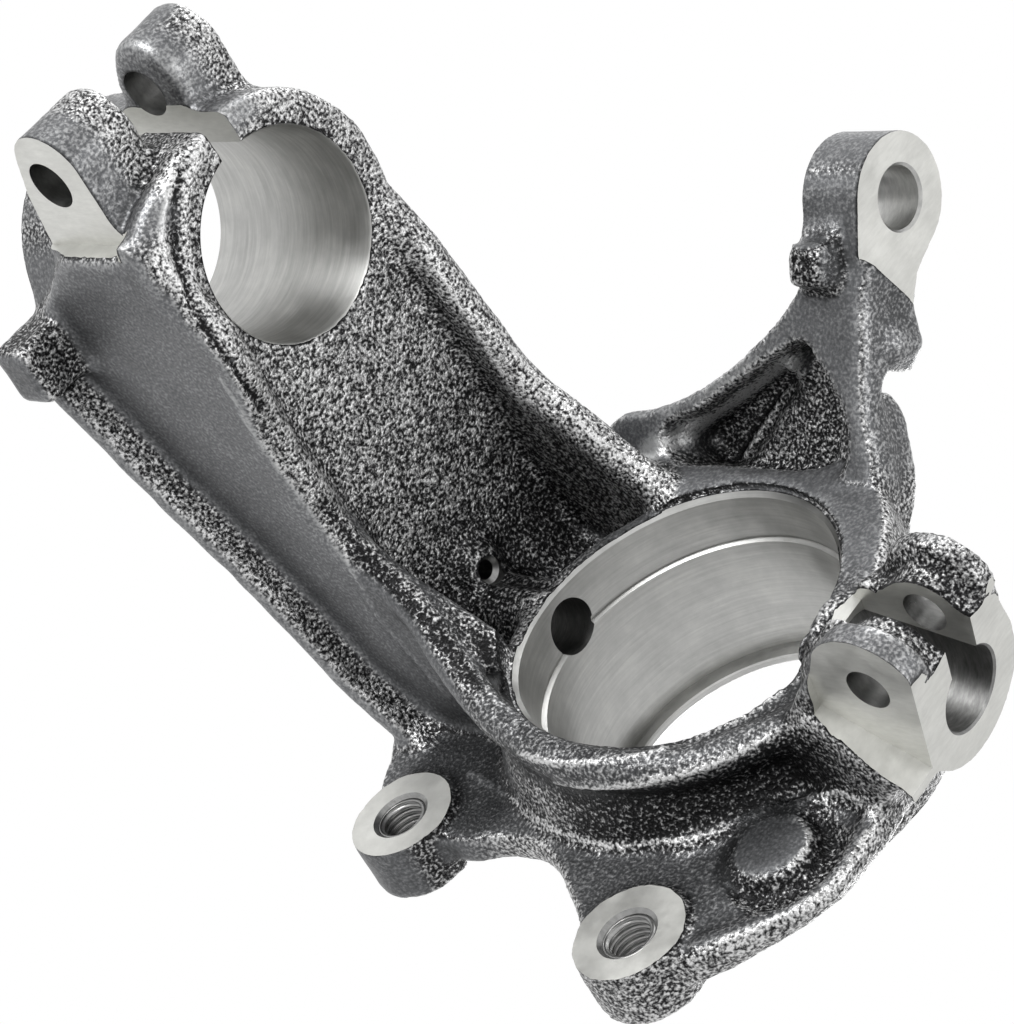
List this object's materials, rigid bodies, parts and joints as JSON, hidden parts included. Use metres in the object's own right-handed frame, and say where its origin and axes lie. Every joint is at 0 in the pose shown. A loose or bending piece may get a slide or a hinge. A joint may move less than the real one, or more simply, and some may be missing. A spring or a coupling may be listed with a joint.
{
  "type": "steering knuckle",
  "caption": "Cast steering knuckle with a wheel bearing bore, a split strut clamp, a split ball joint clamp, a tie rod eye and threaded caliper bosses",
  "frame": {"origin": "centre of the wheel bearing bore, on its axis, 23 mm outboard of the bore's inboard rim", "axes": "+Y is the wheel bearing axis, pointing outboard; +Z is the strut clamp's axis, pointing up; +X points to the side of the steering arm"},
  "size_m": [0.2054, 0.2122, 0.2216],
  "materials": {
    "cast_iron": "shot-blasted dark grey as-cast skin, with bright machined faces and bores"
  },
  "bodies": {
    "root": {"steering_knuckle": "cast_iron"}
  },
  "joints": []
}
